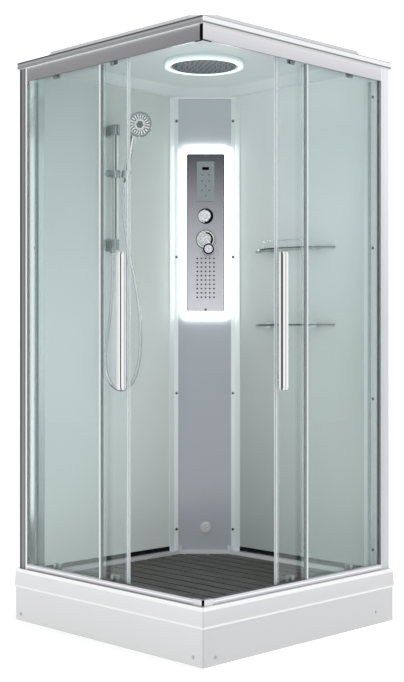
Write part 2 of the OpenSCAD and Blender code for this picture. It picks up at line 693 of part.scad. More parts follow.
module hand_shower() color("silver") in_holder() {
    rotate_extrude() polygon([[0, -nut_len], [10.5, -nut_len], [10.5, -16], [12, -16], [14, 16], [12.5, 40],
        [13.3, grip_len], [0, grip_len]]);
    translate([0, 0, grip_len]) sphere(14);
    translate([0, 0, grip_len]) rotate([42, 0, 0]) cylinder(r = 12, h = 34);
    translate([0, -28, grip_len + 31]) rotate([92, 0, -head_turn]) {
        rotate_extrude() polygon([[0, -10], [head_d / 2 - 20, -10], [head_d / 2 - 2, 2], [head_d / 2, 5],
            [head_d / 2, 13], [head_d / 2 - 2, 15], [0, 15]]);
        for (n = [1 : 3]) for (i = [0 : 6 * n - 1]) rotate([0, 0, i * 60 / n])
            translate([n * (head_d / 2 - 12) / 3, 0, 14]) cylinder(r = 1.8, h = 2.5);
    }
}

// tube swept along the points of the hose
function unit(v) = v / norm(v);
function hose_dir(i) = let (n = len(hose_pts) - 1)
    i == 0 ? unit(hose_pts[1] - hose_pts[0])
    : i == n ? unit(hose_pts[n] - hose_pts[n - 1])
    : unit(hose_pts[i + 1] - hose_pts[i - 1]);
function hose_ring(i) = let (t = hose_dir(i), a = unit(cross(t, [0, 1, 0])), b = cross(t, a))
    [for (k = [0 : 11]) hose_pts[i] + hose_r * (cos(k * 30) * a + sin(k * 30) * b)];
module shower_hose() color([0.75, 0.76, 0.78]) {
    n = len(hose_pts);
    polyhedron(points = [for (i = [0 : n - 1]) each hose_ring(i)],
        faces = concat([[for (k = [0 : 11]) k]], [[for (k = [11 : -1 : 0]) (n - 1) * 12 + k]],
            [for (i = [0 : n - 2], k = [0 : 11])
                [i * 12 + k, (i + 1) * 12 + k, (i + 1) * 12 + (k + 1) % 12, i * 12 + (k + 1) % 12]]),
        convexity = 8);
}

// Shelves

module shelf_shape(inset) intersection() {
    translate([W + shelf_r - shelf_depth, shelf_y]) circle(shelf_r - inset, $fn = 160);
    translate([W - 2 * shelf_depth, shelf_y - shelf_w]) square([2 * shelf_depth - 3, 2 * shelf_w]);
}
module shelf_glasses() color([0.7, 0.82, 0.8, 0.5])
    for (z = shelf_z) translate([0, 0, z - shelf_t]) linear_extrude(shelf_t) shelf_shape(0);

module shelf_fittings() color("silver") {
    for (z = shelf_z, y = [-shelf_hold, shelf_hold]) difference() {
        translate([W - 24, shelf_y + y - 12, z - shelf_t - 8]) cube([24, 24, shelf_t + 16]);
        translate([W - 25, shelf_y + y - 13, z - shelf_t]) cube([22, 26, shelf_t]);
    }
    a = 24;
    translate([W + shelf_r - shelf_depth, shelf_y, shelf_z[0] + 28]) rotate([0, 0, 180 - a])
        rotate_extrude(angle = 2 * a, $fn = 160) translate([shelf_r - 14, 0]) circle(3, $fn = 24);
    for (k = [-1, -0.34, 0.34, 1]) translate([W + shelf_r - shelf_depth, shelf_y, shelf_z[0]])
        rotate([0, 0, 180 + k * (a - 1)]) translate([shelf_r - 14, 0, 0]) cylinder(r = 2.2, h = 28);
}

// Doors, drawn for the right front; tail is the edge next to the post

module door_glass(tail) difference() {
    ubox(tail - door_w, tail, GD - gh, GD + gh, door_z0, door_z1);
    for (s = [tail - door_w + roller_front, tail - roller_back]) {
        ucyl(s, T - 48, GD - gh - 1, GD + gh + 1, 6);
        ucyl(s, guide_z + 2, GD - gh - 1, GD + gh + 1, 5);
    }
    for (z = handle_posts) ucyl(tail - door_w + 15, z, GD - gh - 1, GD + gh + 1, 4 + loose_gap);
}
handle_mid = tray_h + 912;
handle_posts = [handle_mid - handle_len / 2 + 34, handle_mid + handle_len / 2 - 34];
module door_glass_left() color([0.7, 0.8, 0.78, 0.4]) on_side(true) door_glass(tail_left);
module door_glass_right() color([0.7, 0.8, 0.78, 0.4]) on_side(false) door_glass(tail_right);

// mitred leading profile and small trailing profile
module door_seals(tail) {
    lead = tail - door_w;
    translate([lead, 0, door_z0 + 1]) linear_extrude(door_z1 - door_z0 - 2) difference() {
        polygon([[-lead_seal, -GD - 7], [-lead_seal + 14, -GD + 7], [8, -GD + 7], [8, -GD - 7]]);
        translate([0, -GD - gh]) square([20, glass_t]);
    }
    ubox(tail - 12, tail + 2, GD + gh, GD + gh + 1.5, door_z0 + 1, T - fascia_h - 4);
    ubox(tail - 12, tail + 2, GD - gh - 1.5, GD - gh, door_z0 + 1, T - fascia_h - 4);
    ubox(tail, tail + 2, GD - gh - 1.5, GD + gh + 1.5, door_z0 + 1, T - fascia_h - 4);
    ubox(tail - 12, tail - 9, GD + gh + 1, GD + gh + 6, tray_h + rail_h + 1, T - fascia_h - 4);
}
module door_seals_left() color([0.8, 0.83, 0.83]) on_side(true) door_seals(tail_left);
module door_seals_right() color([0.8, 0.83, 0.83]) on_side(false) door_seals(tail_right);

module door_handle(tail) {
    s = tail - door_w + 15;
    ubox(s - 16, s + 16, GD + 15, GD + 29, handle_mid - handle_len / 2 + 7, handle_mid + handle_len / 2 - 7);
    for (k = [-1, 1]) ubox(s - 16, s + 16, GD + 17, GD + 27,
        handle_mid + k * (handle_len / 2 - 3.5) - 3.5, handle_mid + k * (handle_len / 2 - 3.5) + 3.5);
    for (z = handle_posts) {
        ucyl(s, z, GD + gh, GD + 16, 6.5);
        ucyl(s, z, GD - gh - 1, GD + gh + 1, 4);
        ucyl(s, z, GD - gh - 5, GD - gh, 6.5);
    }
}
module door_handle_left() color("silver") on_side(true) door_handle(tail_left);
module door_handle_right() color("silver") on_side(false) door_handle(tail_right);

// one carrier: plate inside the glass, axle and head, bolt through the glass with a cap outside
module carrier(s) {
    ubox(s - 17, s + 17, GD - 7, GD - gh, T - 56, T - 12);
    ucyl(s, wheel_z, GD - 15, GD - 6, axle_r);
    ucyl(s, wheel_z, GD - 16.6, GD - 15.1, 6);
    ucyl(s, T - 48, GD - 4, GD + 4, 6 - loose_gap);
    ucyl(s, T - 48, GD + gh, GD + 7, 9);
}
// one guide shoe astride the inner rib of the bottom rail
module guide_shoe(s) {
    difference() {
        ubox(s - 14.5, s + 14.5, GD - 14.5, GD - gh, tray_h + 8, tray_h + 36);
        ubox(s - 20, s + 20, GD - 11.4, GD - 8.6, tray_h, tray_h + 14.5);
    }
    ucyl(s, guide_z + 2, GD - 4, GD + 4, 5 - loose_gap);
    ucyl(s, guide_z + 2, GD + gh, GD + 6, 8);
}
module door_carriers(tail) for (s = [tail - door_w + roller_front, tail - roller_back]) {
    carrier(s);
    guide_shoe(s);
}
module door_carriers_left() color([0.35, 0.36, 0.38]) on_side(true) door_carriers(tail_left);
module door_carriers_right() color([0.35, 0.36, 0.38]) on_side(false) door_carriers(tail_right);

module wheel(s) difference() {
    ucyl(s, wheel_z, GD - 15, GD - 8, wheel_r);
    ucyl(s, wheel_z, GD - 16, GD - 7, axle_r + pin_gap);
    for (a = [0 : 60 : 300]) translate([s, 0, wheel_z]) rotate([0, a, 0])
        translate([8.5, 0, 0]) ucyl(0, 0, GD - 16, GD - 7, 1.8);
}
module wheel_left_front() color("white") on_side(true) wheel(tail_left - door_w + roller_front);
module wheel_left_back() color("white") on_side(true) wheel(tail_left - roller_back);
module wheel_right_front() color("white") on_side(false) wheel(tail_right - door_w + roller_front);
module wheel_right_back() color("white") on_side(false) wheel(tail_right - roller_back);

tray();
front_aprons();
support_frame();
waste_trap();
floor_grid();
bottom_rail_left();
bottom_rail_right();
top_rail_left();
top_rail_right();
corner_connectors();
post_left();
post_right();
fixed_glass_left();
fixed_glass_right();
fixed_glass_seals();
wall_panel_left();
wall_panel_right();
wall_profiles();
wall_foot_trims();
screw_caps();
centre_panel();
roof_shell();
rain_feed();
rain_head();
light_strips();
column_plate();
body_jets();
control_unit();
key_1();
key_2();
key_3();
key_4();
key_5();
key_6();
key_7();
key_8();
mixer_body();
flow_knob();
mixer_cap();
mixer_lever();
foot_jet();
riser_rail();
riser_slider();
clamp_knob();
hand_shower();
shower_hose();
shelf_glasses();
shelf_fittings();
door_glass_left();
door_seals_left();
door_handle_left();
door_carriers_left();
door_glass_right();
door_seals_right();
door_handle_right();
door_carriers_right();
wheel_left_front();
wheel_left_back();
wheel_right_front();
wheel_right_back();
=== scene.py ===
import bpy
import math
from mathutils import Euler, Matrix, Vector


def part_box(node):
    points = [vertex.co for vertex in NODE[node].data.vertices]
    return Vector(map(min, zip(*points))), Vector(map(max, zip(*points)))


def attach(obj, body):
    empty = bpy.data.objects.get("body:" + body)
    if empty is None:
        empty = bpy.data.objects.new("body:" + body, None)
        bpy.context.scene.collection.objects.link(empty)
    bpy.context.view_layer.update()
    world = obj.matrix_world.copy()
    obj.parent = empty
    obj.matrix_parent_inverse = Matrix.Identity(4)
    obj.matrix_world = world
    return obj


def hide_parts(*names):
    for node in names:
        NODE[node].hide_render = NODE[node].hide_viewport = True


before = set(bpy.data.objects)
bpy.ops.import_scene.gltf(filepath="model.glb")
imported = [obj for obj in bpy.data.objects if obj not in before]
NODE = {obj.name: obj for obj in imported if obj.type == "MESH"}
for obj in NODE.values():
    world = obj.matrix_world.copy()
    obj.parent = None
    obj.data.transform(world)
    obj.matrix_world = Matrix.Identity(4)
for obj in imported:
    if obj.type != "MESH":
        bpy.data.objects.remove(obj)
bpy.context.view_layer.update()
scene = bpy.context.scene
# The diagonal from the entry corner to the column, and the direction across it
DIAG = Vector((math.sqrt(0.5), math.sqrt(0.5), 0))
SIDE = Vector((math.sqrt(0.5), -math.sqrt(0.5), 0))
UP = Vector((0, 0, 1))

# Camera at the photo's place
cam_data = bpy.data.cameras.new("camera")
cam_data.sensor_width = 36
cam_data.lens = 66.19
cam_data.clip_end = 60
cam = bpy.data.objects.new("camera", cam_data)
cam.location = (-3.281, -3.3128, 1.037)
cam.rotation_euler = (math.radians(90), 0, math.radians(-44.63))
scene.collection.objects.link(cam)
scene.camera = cam
scene.view_settings.view_transform = "Standard"

# Hose: a smooth tube on the same route as the CAD tube
ROUTE = [
    (-0.088, 0.417, 1.380), (-0.088, 0.417, 1.360), (-0.088, 0.417, 1.340), (-0.089, 0.417, 1.300),
    (-0.091, 0.416, 1.260), (-0.095, 0.415, 1.210), (-0.103, 0.413, 1.150), (-0.114, 0.412, 1.095),
    (-0.126, 0.411, 1.040), (-0.134, 0.409, 0.990), (-0.135, 0.407, 0.940), (-0.126, 0.406, 0.900),
    (-0.107, 0.404, 0.868), (-0.080, 0.402, 0.850), (-0.050, 0.401, 0.846), (-0.021, 0.400, 0.858),
    (0.003, 0.398, 0.884), (0.020, 0.397, 0.920), (0.030, 0.395, 0.965), (0.034, 0.393, 1.020),
    (0.033, 0.392, 1.080), (0.028, 0.390, 1.140), (0.018, 0.389, 1.200), (0.004, 0.388, 1.265),
    (-0.012, 0.388, 1.325), (-0.028, 0.388, 1.385), (-0.040, 0.390, 1.440), (-0.048, 0.393, 1.500),
    (-0.051, 0.396, 1.550), (-0.050, 0.399, 1.590), (-0.047, 0.3995, 1.620)]
HOLDER = Vector((-0.046, 0.386, 1.689))
HOLDER_TILT = math.radians(13)
NUT_END = 0.03205
NUT_LENGTH = 0.018
HOSE_R = 0.007
handle_up = Vector((0, -math.sin(HOLDER_TILT), math.cos(HOLDER_TILT)))
hose_end = HOLDER - NUT_END * handle_up
hose_points = [Vector(p) for p in ROUTE] + [hose_end - NUT_LENGTH * handle_up, hose_end]


def smooth(pts, n):
    """Points on a smooth line through pts, n to each stretch."""
    out = []
    for i in range(len(pts) - 1):
        a = pts[i - 1] if i else pts[0]
        b, c = pts[i], pts[i + 1]
        d = pts[i + 2] if i + 2 < len(pts) else pts[-1]
        for k in range(n):
            t = k / n
            bend = (2 * a - 5 * b + 4 * c - d) * t * t + (3 * b - a - 3 * c + d) * t ** 3
            out.append(0.5 * (2 * b + (c - a) * t + bend))
    return out + [pts[-1]]


hose_line = smooth(hose_points, 3)
curve = bpy.data.curves.new("hose_tube", "CURVE")
curve.dimensions = "3D"
# each point scales this metre by its own radius, which keeps the curve's own box true
curve.bevel_depth = 1
curve.bevel_resolution = 6
curve.use_fill_caps = True
spline = curve.splines.new("POLY")
spline.points.add(len(hose_line) - 1)
for p, v in zip(spline.points, hose_line):
    p.co = (*v, 1)
    p.radius = HOSE_R
hose = bpy.data.objects.new("hose_tube", curve)
scene.collection.objects.link(hose)
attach(hose, "cabin")
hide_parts("shower_hose")

# Material helpers


def lin(c):
    """Screen colour 0-255 to a linear colour."""
    return tuple(((v / 255 + 0.055) / 1.055) ** 2.4 if v > 10 else v / 255 / 12.92 for v in c) + (1.0,)


def put(node, **values):
    """Sets inputs by name, with _ for a space."""
    for name, v in values.items():
        node.inputs[name.replace("_", " ")].default_value = v


def new_mat(name):
    m = bpy.data.materials.new(name)
    m.use_nodes = True
    nt = m.node_tree
    return m, nt, nt.nodes["Principled BSDF"]


def place(nt):
    """The place on the object, in the object's own frame."""
    return nt.nodes.new("ShaderNodeTexCoord").outputs["Object"]


def axis_of(nt, axis):
    """One coordinate of the place."""
    sp = nt.nodes.new("ShaderNodeSeparateXYZ")
    nt.links.new(place(nt), sp.inputs["Vector"])
    return sp.outputs[axis]


def op(nt, operation, a, b=None):
    """Maths on sockets or numbers."""
    n = nt.nodes.new("ShaderNodeMath")
    n.operation = operation
    for socket, v in zip(n.inputs, (a, b)):
        if isinstance(v, (int, float)):
            socket.default_value = v
        elif v is not None:
            nt.links.new(v, socket)
    return n.outputs["Value"]


def vector_op(nt, operation, a, b=None):
    """Vector maths on a socket and a fixed vector or second socket."""
    n = nt.nodes.new("ShaderNodeVectorMath")
    n.operation = operation
    nt.links.new(a, n.inputs[0])
    if isinstance(b, Vector):
        n.inputs[1].default_value = b
    elif b is not None:
        nt.links.new(b, n.inputs[1])
    return n.outputs["Value" if operation in ("LENGTH", "DOT_PRODUCT") else "Vector"]


def share(nt, v, lo, hi):
    """0 to 1 as v goes from lo to hi."""
    mr = nt.nodes.new("ShaderNodeMapRange")
    put(mr, From_Min=lo, From_Max=hi)
    nt.links.new(v, mr.inputs["Value"])
    return mr.outputs["Result"]


def noise(nt, scale, stretch=(1, 1, 1), detail=2.0):
    """Soft patches, stretched by a factor for each axis."""
    mp = nt.nodes.new("ShaderNodeMapping")
    mp.inputs["Scale"].default_value = stretch
    tx = nt.nodes.new("ShaderNodeTexNoise")
    put(tx, Scale=scale, Detail=detail)
    nt.links.new(place(nt), mp.inputs["Vector"])
    nt.links.new(mp.outputs["Vector"], tx.inputs["Vector"])
    return tx.outputs["Fac"]


def ramp(nt, fac, stops):
    """Colours by a measure, from stops of place and linear colour."""
    r = nt.nodes.new("ShaderNodeValToRGB")
    while len(r.color_ramp.elements) < len(stops):
        r.color_ramp.elements.new(0.5)
    for e, (p, c) in zip(r.color_ramp.elements, stops):
        e.position = p
        e.color = c
    nt.links.new(fac, r.inputs["Fac"])
    return r.outputs["Color"]


def grey(v):
    return (v, v, v, 1)


def mottle(nt, colour, amount, scale, stretch):
    """A fixed colour or a socket's, darker by up to amount in soft patches."""
    shade = ramp(nt, noise(nt, scale, stretch), [(0.3, grey(1 - amount)), (0.7, grey(1))])
    return vector_op(nt, "MULTIPLY", shade, Vector(colour[:3]) if isinstance(colour, tuple) else colour)


def cover_mix(nt, fac, over):
    """The surface: see-through where fac is 0, and the shader over it where fac is 1."""
    tr = nt.nodes.new("ShaderNodeBsdfTransparent")
    put(tr, Color=lin(GLASS_TINT))
    mx = nt.nodes.new("ShaderNodeMixShader")
    nt.links.new(fac, mx.inputs["Fac"])
    nt.links.new(tr.outputs["BSDF"], mx.inputs[1])
    nt.links.new(over.outputs["BSDF"], mx.inputs[2])
    nt.links.new(mx.outputs["Shader"], nt.nodes["Material Output"].inputs["Surface"])


def colour_mix(nt, mask, a, b):
    """The socket a where the mask is 0, and the colour b where it is 1."""
    mx = nt.nodes.new("ShaderNodeMix")
    mx.data_type = "RGBA"
    nt.links.new(mask, mx.inputs[0])
    nt.links.new(a, mx.inputs[6])
    mx.inputs[7].default_value = b
    return mx.outputs[2]


def roughen(nt, b, amount, scale, stretch=(1, 1, 1)):
    """Fine unevenness of the surface."""
    bp = nt.nodes.new("ShaderNodeBump")
    put(bp, Strength=amount, Distance=0.001)
    nt.links.new(noise(nt, scale, stretch), bp.inputs["Height"])
    nt.links.new(bp.outputs["Normal"], b.inputs["Normal"])


# Ways to measure a place on an object, from 0 to 1


def by_height(z0, z1):
    return lambda nt: share(nt, axis_of(nt, "Z"), z0, z1)


def by_axis(axis, v0, v1):
    return lambda nt: share(nt, axis_of(nt, axis), v0, v1)


def by_way(way, v0, v1):
    """Along any direction."""
    return lambda nt: share(nt, vector_op(nt, "DOT_PRODUCT", place(nt), way), v0, v1)


def by_run(v0, v1):
    """Along either front, from the entry corner to its post."""
    return lambda nt: share(nt, op(nt, "MAXIMUM", axis_of(nt, "X"), axis_of(nt, "Y")), v0, v1)


def distance(nt, centre, axis):
    """How far the place lies from an axis through centre, and the arm to it."""
    arm = vector_op(nt, "SUBTRACT", place(nt), centre)
    length = vector_op(nt, "LENGTH", arm)
    along = vector_op(nt, "DOT_PRODUCT", arm, axis)
    square = op(nt, "SUBTRACT", op(nt, "MULTIPLY", length, length), op(nt, "MULTIPLY", along, along))
    return op(nt, "SQRT", op(nt, "MAXIMUM", square, 0.0)), arm


def by_radius(centre, axis, r0, r1):
    return lambda nt: share(nt, distance(nt, centre, axis)[0], r0, r1)


def by_spokes(centre, axis, count, r0, r1):
    """Waves round an axis between two radii, and 1 elsewhere."""
    def measure(nt):
        r, arm = distance(nt, centre, axis)
        over = axis.orthogonal().normalized()
        turn = op(nt, "ARCTAN2", vector_op(nt, "DOT_PRODUCT", arm, over),
                  vector_op(nt, "DOT_PRODUCT", arm, axis.cross(over)))
        wave = op(nt, "SINE", op(nt, "MULTIPLY", turn, count))
        off = op(nt, "ADD", op(nt, "LESS_THAN", r, r0), op(nt, "GREATER_THAN", r, r1))
        return op(nt, "MAXIMUM", share(nt, wave, -1, 1), off)
    return measure


# Kinds of material


def plain(name, colour, rough=0.4, metal=0.0, coat=0.0, bump=0.0, scale=40, stretch=(1, 1, 1),
          vary=0.0, mirror=0.5):
    """One colour, mottled by vary and uneven by bump."""
    m, nt, b = new_mat(name)
    put(b, Base_Color=lin(colour), Roughness=rough, Metallic=metal, Coat_Weight=coat,
        Specular_IOR_Level=mirror)
    if vary:
        nt.links.new(mottle(nt, lin(colour), vary, scale, stretch), b.inputs["Base Color"])
    if bump:
        roughen(nt, b, bump, scale, stretch)
    return m


def graded(name, fac_of, stops, rough=0.3, metal=0.0, coat=0.0, bump=0.0, scale=60, stretch=(1, 1, 1),
           vary=0.0, over=None):
    """Colour that follows a measure; over is a second measure whose stops darken the first."""
    m, nt, b = new_mat(name)
    put(b, Roughness=rough, Metallic=metal, Coat_Weight=coat)
    colour = ramp(nt, fac_of(nt), [(p, lin(c)) for p, c in stops])
    if over:
        second_of, shades = over
        shade = ramp(nt, second_of(nt), [(p, grey(v)) for p, v in shades])
        colour = vector_op(nt, "MULTIPLY", colour, shade)
    if vary:
        colour = mottle(nt, colour, vary, scale, stretch)
    nt.links.new(colour, b.inputs["Base Color"])
    if bump:
        roughen(nt, b, bump, scale, stretch)
    return m


def film(name, fac_of, stops):
    """Clear plastic with lines in it: each stop has its place, colour and cover."""
    m, nt, b = new_mat(name)
    put(b, Roughness=0.25)
    fac = fac_of(nt)
    nt.links.new(ramp(nt, fac, [(p, lin(c)) for p, c, a in stops]), b.inputs["Base Color"])
    cover = ramp(nt, fac, [(p, grey(a)) for p, c, a in stops])
    cover_mix(nt, cover, b)
    return m


def clear_glass(name):
    """A thin pane: tinted see-through with a mirror share that grows at flat angles."""
    m, nt, b = new_mat(name)
    nt.nodes.remove(b)
    gl = nt.nodes.new("ShaderNodeBsdfGlossy")
    put(gl, Color=lin((235, 245, 242)), Roughness=0.03)
    lw = nt.nodes.new("ShaderNodeLayerWeight")
    put(lw, Blend=0.5)
    mr = nt.nodes.new("ShaderNodeMapRange")
    put(mr, To_Min=0.04, To_Max=0.9)
    nt.links.new(op(nt, "POWER", lw.outputs["Facing"], 4), mr.inputs["Value"])
    cover_mix(nt, mr.outputs["Result"], gl)
    return m


def lamp_cover(name, colour, base, fac_of, stops):
    """A glowing cover whose strength follows a measure."""
    m, nt, b = new_mat(name)
    put(b, Base_Color=lin(base), Emission_Color=lin(colour), Roughness=0.4)
    top = max(v for p, v in stops)
    glow = ramp(nt, fac_of(nt), [(p, grey(v / top)) for p, v in stops])
    nt.links.new(op(nt, "MULTIPLY", glow, top), b.inputs["Emission Strength"])
    return m


def dial(name, centre, dark_side, bands, face=(228, 231, 236), spots=0.4):
    """Chrome round an axis along the diagonal, with dark bands of painted reflection and painted shade. A
    band has its two radii, its least lean to the dark side (0 looks away from it and 1 towards it, -1 puts
    the band all round) and its colour."""
    m, nt, b = new_mat(name)
    put(b, Roughness=0.12, Metallic=1.0)
    r, arm = distance(nt, centre, DIAG)
    # the small addition keeps the middle from a division by 0
    lean = op(nt, "DIVIDE", vector_op(nt, "DOT_PRODUCT", arm, dark_side), op(nt, "ADD", r, 0.0001))
    lean = op(nt, "MULTIPLY", op(nt, "ADD", lean, 1.0), 0.5)
    colour = mottle(nt, lin(face), spots, SPOT_SCALE, (1, 1, 1))
    for r0, r1, least, c in bands:
        ring = op(nt, "MULTIPLY", op(nt, "GREATER_THAN", r, r0), op(nt, "LESS_THAN", r, r1))
        mask = op(nt, "MULTIPLY", ring, share(nt, lean, least - BAND_SOFT, least + BAND_SOFT))
        colour = colour_mix(nt, mask, colour, lin(c))
    nt.links.new(colour, b.inputs["Base Color"])
    return m


# Sizes that the looks share with the construction
RIDGE_Z = 0.125
RIM_Z = 0.193
RAIL_Z = (RIM_Z, 0.213)
WALL_Z = (0.2, 2.0)
ROOF_Z = 2.046
FASCIA_Z = (1.995, ROOF_Z)
ROOF_RIM_Z = (ROOF_Z, 2.069)
WALL_RUN = (-0.45, 0.35)
POST_RUN = (0.44, 0.485)
POST_DEPTH = (-0.485, -0.44)
PROFILE_RUN = (-0.455, -0.41)
STRIP_RUN = (0.015, 0.031)
SEAL_WIDTH = 0.024
HANDLE_HALF = 0.016
HANDLE_T = 0.014
BAR = Vector((-0.075, 0.417, 0))
BAR_RUN = (-0.3573, -0.3353)
SPOKES = 20
SPOKE_R = (0.024, 0.039)
GRIP_R = 0.012
RING_R = (0.128, 0.146)
RING_Z = (2.054, 2.076)
COLUMN_X = 0.004
COLUMN_HALF = 0.078
PLATE_Z = (1.159, 1.806)
KNOB = SIDE * COLUMN_X + UP * 1.550
MIXER = SIDE * COLUMN_X + UP * 1.454
LEVER = SIDE * 0.0161 + UP * 1.4117
RIGHTWARD = SIDE * 0.97 + UP * 0.24
LOWER_RIGHT = SIDE * 0.86 - UP * 0.5
SIDES = ("left", "right")
OTHER = {"left": "right", "right": "left"}
box = {n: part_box(n) for n in ("door_seals_left", "door_seals_right",
                              "door_handle_left", "door_handle_right")}

WHITE = (255, 255, 255)
GLASS_TINT = (252, 254, 254)
SPOT_SCALE = 170
BAND_SOFT = 0.05
FINE_UP = {"bump": 0.08, "scale": 90, "stretch": (1, 1, 0.1)}
PAINTED = {"rough": 0.16, "coat": 0.25, "bump": 0.02, "scale": 3}

# Materials by key. A stop of a graded one has its share of the way, 0 to 1, and a screen colour
# 0-255; a film's stops also have their cover, and a lamp's have a strength in place of the colour.
M = {}
# tray and aprons; a dark line with a light one beside it runs down the front corner. Each front has its own
# copy of the acrylic with painted light, lighter on the left front and darker on the right
M["acrylic"] = plain("acrylic", (226, 227, 229), 0.2, 0, 0.4, bump=0.05, scale=6)
CORNER = (by_way(SIDE, -0.004, 0.004), [(0.0, 1), (0.32, 1), (0.42, 0.62), (0.6, 0.62), (0.7, 1), (1, 1)])
for side, skirt, apron in (("left", 232, 225), ("right", 220, 212)):
    # each skirt has a painted highlight along its lower fold and along its top edge; each apron is a little
    # darker towards the bottom
    M["skirt_painted_light_" + side] = graded(
        "skirt_painted_light_" + side, by_height(RIDGE_Z, RIM_Z),
        [(0.0, (252, 252, 252)), (0.07, (250, 250, 250)), (0.12, (skirt - 3,) * 3),
         (0.78, (skirt, skirt, skirt + 2)), (0.84, (254, 254, 254)), (1.0, (254, 254, 254))],
        0.25, coat=0.4, over=CORNER)
    M["apron_painted_light_" + side] = graded(
        "apron_painted_light_" + side, by_height(0, RIDGE_Z), [(0.0, (apron - 4,) * 3), (1.0, (apron, apron, apron + 2))],
        0.25, coat=0.4, over=CORNER)

# roof: the rim has painted reflections in bands, grey on the left front and white on the right, with
# painted shade lines along its edges
M["rim_left"] = graded(
    "roof_rim_left_painted_reflection", by_height(*ROOF_RIM_Z),
    [(0.0, (120, 120, 123)), (0.12, (168, 169, 171)), (0.4, (150, 151, 153)), (0.5, (186, 187, 189)),
     (0.72, (170, 171, 173)), (0.8, (86, 87, 89)), (1.0, (86, 87, 89))], 0.3, 0.2)
M["rim_right"] = graded(
    "roof_rim_right_painted_reflection", by_height(*ROOF_RIM_Z),
    [(0.0, (130, 130, 133)), (0.2, (140, 140, 143)), (0.28, (252, 252, 253)), (0.86, (252, 252, 253)),
     (0.93, (170, 170, 173)), (1.0, (170, 170, 173))], 0.3, 0.2)
M["ceiling"] = plain("ceiling", (222, 229, 229), 0.45, 0, 0.1, bump=0.05, scale=6)

# frame: rails, fascia and posts, with painted reflections of their surroundings as lines, and painted shade
M["steel"] = plain("frame_steel", (160, 162, 165), 0.4, 0.9, vary=0.2, scale=25)
M["waste"] = plain("waste_plastic", (205, 206, 208), 0.45, bump=0.05)
M["alu"] = plain("satin_aluminium", (224, 223, 226), 0.3, 0.95, bump=0.1, scale=90, stretch=(1, 1, 0.1))
# painted shade line along the fascia's lower edge, and painted light that grows towards the top
M["fascia"] = graded(
    "fascia", by_height(*FASCIA_Z),
    [(0.0, (150, 150, 153)), (0.04, (216, 215, 218)), (0.6, (224, 223, 226)), (1.0, (236, 235, 237))],
    0.3, 0.95, bump=0.1, scale=90, stretch=(1, 1, 0.1))
# painted reflections on the bottom rails: a painted highlight band along the middle, with dark lines at the
# lower and upper edges
M["rail"] = graded(
    "rail", by_height(*RAIL_Z),
    [(0.0, (120, 120, 124)), (0.1, (196, 196, 200)), (0.42, (214, 213, 216)), (0.5, (246, 246, 248)),
     (0.62, (246, 246, 248)), (0.7, (206, 206, 210)), (0.92, (214, 214, 217)), (1.0, (150, 150, 154))],
    0.3, 0.95, bump=0.08, scale=90, stretch=(0.1, 0.1, 1))
# the posts carry painted reflections as light and dark lines; the left post is darker than the right, and
# the right one is darker towards the bottom, as painted shade
M["post_left"] = graded(
    "post_left", by_run(*POST_RUN),
    [(0.0, WHITE), (0.18, WHITE), (0.23, (118, 119, 121)), (0.44, (126, 127, 129)),
     (0.5, (146, 147, 149)), (0.66, (142, 143, 145)), (0.71, (92, 94, 96)), (0.94, (92, 94, 96)),
     (1.0, (116, 117, 119))], 0.35, 0.2, **FINE_UP)
M["post_right"] = graded(
    "post_right", by_run(*POST_RUN),
    [(0.0, WHITE), (0.15, WHITE), (0.19, (214, 215, 220)), (0.26, (240, 242, 247)),
     (0.6, (246, 248, 253)), (0.64, (232, 234, 239)), (0.68, (248, 250, 255)), (1.0, (242, 244, 249))],
    0.35, 0.2, over=(by_height(*WALL_Z), [(0.0, 0.7), (0.5, 0.76), (0.85, 0.97), (1.0, 1.0)]), **FINE_UP)
# the posts' side faces also carry painted reflections as lines
M["post_side_left"] = graded(
    "post_side_left", by_axis("X", *POST_DEPTH),
    [(0.0, (206, 210, 212)), (0.2, (196, 200, 202)), (0.26, WHITE), (0.74, WHITE),
     (0.8, (214, 223, 223)), (1.0, (206, 216, 216))], 0.15, 0.95)
M["post_side_right"] = graded(
    "post_side_right", by_axis("Y", *POST_DEPTH),
    [(0.0, (170, 176, 178)), (0.15, (170, 176, 178)), (0.2, (60, 64, 66)), (0.42, (60, 64, 66)),
     (0.48, (236, 242, 242)), (1.0, (226, 234, 233))], 0.3, 0.1)
M["black"] = plain("black_plastic", (6, 6, 7), 0.6, bump=0.05, mirror=0.05)

# glass and seals
M["glass"] = clear_glass("glass")
M["glass_edge"] = plain("glass_edge", (58, 74, 70), 0.15, coat=0.5, vary=0.3, scale=20)
M["seal_clear"] = film("seal_clear", by_height(0, 2),
                       [(0, (226, 234, 235), 0.16), (1, (226, 234, 235), 0.16)])
M["edge_strip"] = film(
    "edge_strip", by_run(*STRIP_RUN),
    [(0.0, (226, 233, 234), 0.3), (0.16, (226, 233, 234), 0.3), (0.22, (84, 92, 95), 0.9),
     (0.44, (84, 92, 95), 0.9), (0.52, (240, 245, 245), 0.9), (1.0, (240, 245, 245), 0.9)])
PROFILE = [(0.0, (238, 243, 244), 0.85), (0.15, (238, 243, 244), 0.85), (0.19, (140, 150, 154), 0.85),
           (0.26, (140, 150, 154), 0.85), (0.3, (230, 236, 238), 0.3), (0.4, (230, 236, 238), 0.3),
           (0.43, (242, 246, 247), 0.8), (0.57, (242, 246, 247), 0.8), (0.62, (206, 220, 226), 0.25),
           (1.0, (206, 220, 226), 0.25)]
for side, axis, k in (("left", "Y", 1), ("right", "X", 0)):
    nose = box["door_seals_" + side][0][k]
    M["door_profile_" + side] = film(
        "door_profile_" + side, by_axis(axis, nose, nose + SEAL_WIDTH), PROFILE)

